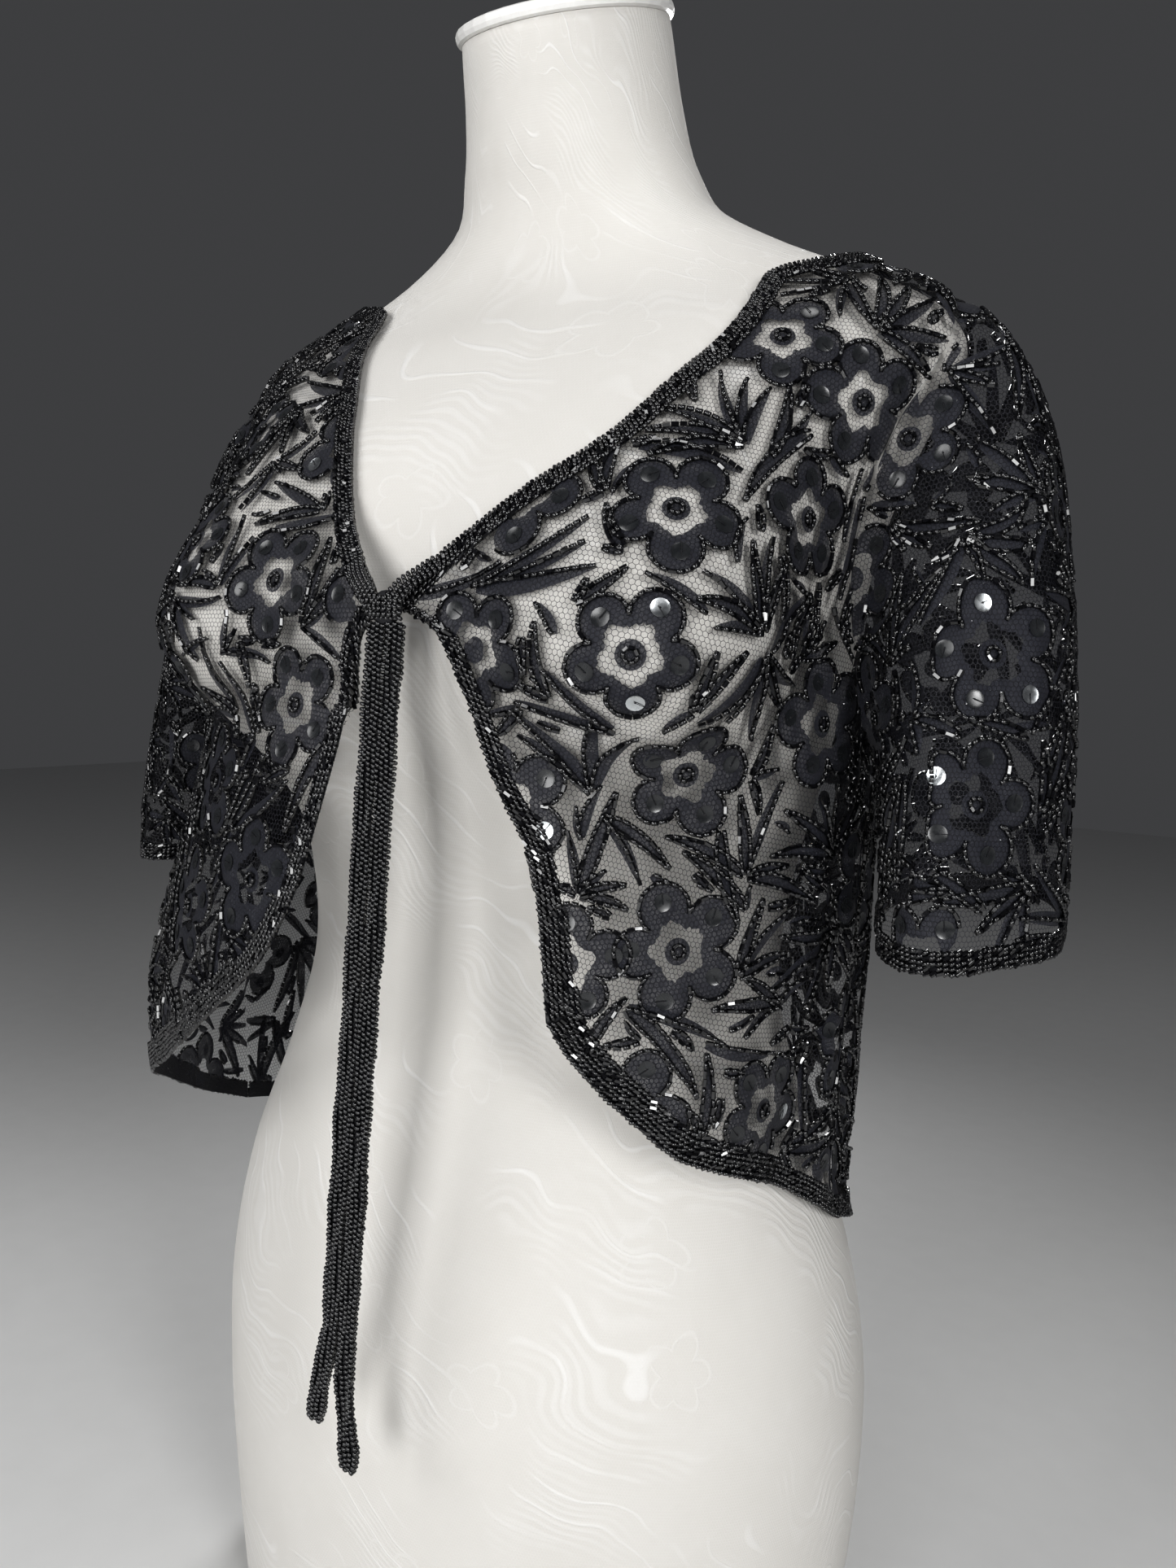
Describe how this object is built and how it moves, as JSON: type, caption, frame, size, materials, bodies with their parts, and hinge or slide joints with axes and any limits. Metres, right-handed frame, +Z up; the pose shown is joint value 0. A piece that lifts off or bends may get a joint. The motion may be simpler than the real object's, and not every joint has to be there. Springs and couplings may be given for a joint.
{
  "type": "beaded shrug on a dress form",
  "caption": "Cropped open-front shrug in beaded black net with short sleeves and long bead ties, worn by an ivory limbless dress form.",
  "frame": {"origin": "centre of the dress form's flat base, on the surface that it stands on", "axes": "+Z up, the form faces -Y and its left side is +X"},
  "size_m": [0.5181, 0.3031, 0.8082],
  "materials": {
    "beaded_net": "sheer black net with woven satin flowers and leaves",
    "black_beads": "glossy black glass seed and bugle beads in dense rows",
    "form_cover": "ivory jersey with white floral lace over it",
    "form_cap": "white, smooth"
  },
  "bodies": {
    "root": {"back": "beaded_net", "front_left": "beaded_net", "front_right": "beaded_net", "sleeve_left": "beaded_net", "sleeve_right": "beaded_net", "edge_neck_back": "black_beads", "edge_front_left": "black_beads", "edge_front_right": "black_beads", "hem_back": "black_beads", "cuff_left": "black_beads", "cuff_right": "black_beads", "tie_knot": "black_beads", "tie_left": "black_beads", "tie_right": "black_beads", "form_torso": "form_cover", "form_cap": "form_cap"}
  },
  "joints": []
}
